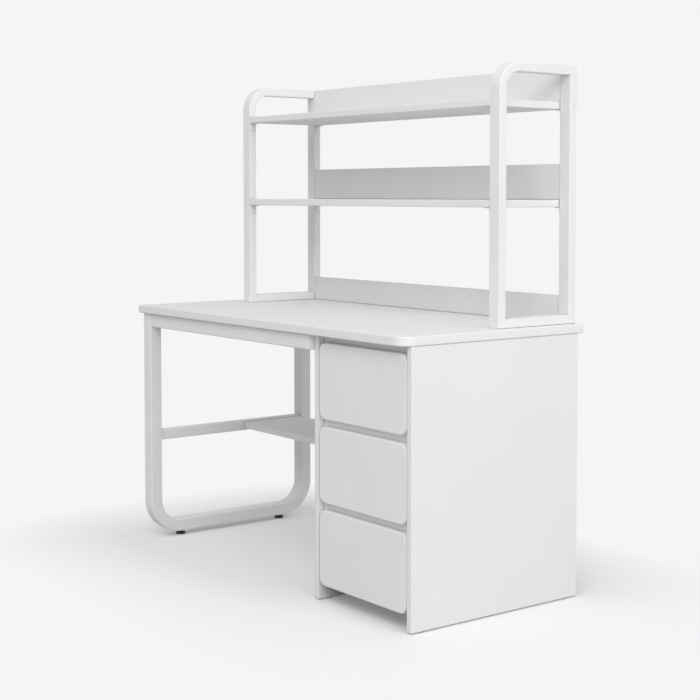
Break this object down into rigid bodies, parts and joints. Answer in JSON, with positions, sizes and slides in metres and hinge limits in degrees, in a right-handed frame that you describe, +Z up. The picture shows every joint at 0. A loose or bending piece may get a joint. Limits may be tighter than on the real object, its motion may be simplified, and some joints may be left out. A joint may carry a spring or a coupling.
{
  "type": "student desk with hutch",
  "caption": "White student desk with a drawer pedestal on telescopic slides, a bent tube leg with screw feet, a low shelf and an open tube-framed hutch with shelves above the worktop.",
  "frame": {"origin": "on the floor under the middle of the desktop", "axes": "+Z up, +X to the right along the desk's length with the drawers at +X, +Y to the back, so the front faces -Y"},
  "size_m": [1.346, 0.636, 1.45],
  "materials": {
    "white_laminate": "fine matt white melamine on board",
    "white_drawer_front": "satin white wrapped board with soft edges",
    "white_powder_coat": "satin white powder coat on steel tube",
    "drawer_box_board": "plain white foil on board",
    "zinc_steel": "bright zinc plate",
    "black_plastic": "matt moulded nylon",
    "grey_plastic": "matt moulded nylon",
    "white_plastic": "satin moulded plastic"
  },
  "bodies": {
    "desk_frame": {"bottom_drawer_slide_outer": "zinc_steel", "desktop": "white_laminate", "front_apron_rail": "white_powder_coat", "front_foot_bush": "zinc_steel", "hutch_left_bent_tube": "white_powder_coat", "hutch_left_bottom_rail": "white_powder_coat", "hutch_left_rear_post": "white_powder_coat", "hutch_lower_back_board": "white_laminate", "hutch_middle_back_board": "white_laminate", "hutch_middle_shelf": "white_laminate", "hutch_right_bent_tube": "white_powder_coat", "hutch_right_bottom_rail": "white_powder_coat", "hutch_right_rear_post": "white_powder_coat", "hutch_shelf_tabs": "white_powder_coat", "hutch_tube_plugs": "white_plastic", "hutch_upper_back_board": "white_laminate", "hutch_upper_shelf": "white_laminate", "left_leg_crossbar": "white_powder_coat", "left_leg_top_rail": "white_powder_coat", "left_leg_tube": "white_powder_coat", "lower_shelf": "white_laminate", "middle_drawer_slide_outer": "zinc_steel", "pedestal_back_panel": "white_laminate", "pedestal_glides": "grey_plastic", "pedestal_left_panel": "white_laminate", "pedestal_lower_rail": "white_laminate", "pedestal_right_panel": "white_laminate", "pedestal_top_rail": "white_laminate", "pedestal_upper_rail": "white_laminate", "rear_apron_rail": "white_powder_coat", "rear_foot_bush": "zinc_steel", "top_drawer_slide_outer": "zinc_steel"},
    "top_drawer": {"top_drawer_back": "drawer_box_board", "top_drawer_bottom": "drawer_box_board", "top_drawer_front": "white_drawer_front", "top_drawer_left_side": "drawer_box_board", "top_drawer_right_side": "drawer_box_board", "top_drawer_slide_inner": "zinc_steel"},
    "top_drawer_slide_middles": {"top_drawer_slide_middle": "zinc_steel"},
    "middle_drawer": {"middle_drawer_back": "drawer_box_board", "middle_drawer_bottom": "drawer_box_board", "middle_drawer_front": "white_drawer_front", "middle_drawer_left_side": "drawer_box_board", "middle_drawer_right_side": "drawer_box_board", "middle_drawer_slide_inner": "zinc_steel"},
    "middle_drawer_slide_middles": {"middle_drawer_slide_middle": "zinc_steel"},
    "bottom_drawer": {"bottom_drawer_back": "drawer_box_board", "bottom_drawer_bottom": "drawer_box_board", "bottom_drawer_front": "white_drawer_front", "bottom_drawer_left_side": "drawer_box_board", "bottom_drawer_right_side": "drawer_box_board", "bottom_drawer_slide_inner": "zinc_steel"},
    "bottom_drawer_slide_middles": {"bottom_drawer_slide_middle": "zinc_steel"},
    "front_foot": {"front_levelling_foot": "black_plastic"},
    "rear_foot": {"rear_levelling_foot": "black_plastic"}
  },
  "joints": [
    {"name": "top_drawer_slide", "type": "slide", "parent": "desk_frame", "child": "top_drawer", "axis": [0, -1, 0], "range_m": [0, 0.42]},
    {"name": "top_drawer_slide_middle", "type": "slide", "parent": "desk_frame", "child": "top_drawer_slide_middles", "axis": [0, -1, 0], "range_m": [0, 0.21]},
    {"name": "middle_drawer_slide", "type": "slide", "parent": "desk_frame", "child": "middle_drawer", "axis": [0, -1, 0], "range_m": [0, 0.42]},
    {"name": "middle_drawer_slide_middle", "type": "slide", "parent": "desk_frame", "child": "middle_drawer_slide_middles", "axis": [0, -1, 0], "range_m": [0, 0.21]},
    {"name": "bottom_drawer_slide", "type": "slide", "parent": "desk_frame", "child": "bottom_drawer", "axis": [0, -1, 0], "range_m": [0, 0.42]},
    {"name": "bottom_drawer_slide_middle", "type": "slide", "parent": "desk_frame", "child": "bottom_drawer_slide_middles", "axis": [0, -1, 0], "range_m": [0, 0.21]},
    {"name": "front_foot_screw", "type": "slide", "parent": "desk_frame", "child": "front_foot", "axis": [0, 0, -1], "range_m": [0, 0.01]},
    {"name": "rear_foot_screw", "type": "slide", "parent": "desk_frame", "child": "rear_foot", "axis": [0, 0, -1], "range_m": [0, 0.01]}
  ],
  "couplings": [
    {"joint": "top_drawer_slide_middle", "follows": "top_drawer_slide", "ratio": 0.5},
    {"joint": "middle_drawer_slide_middle", "follows": "middle_drawer_slide", "ratio": 0.5},
    {"joint": "bottom_drawer_slide_middle", "follows": "bottom_drawer_slide", "ratio": 0.5}
  ]
}
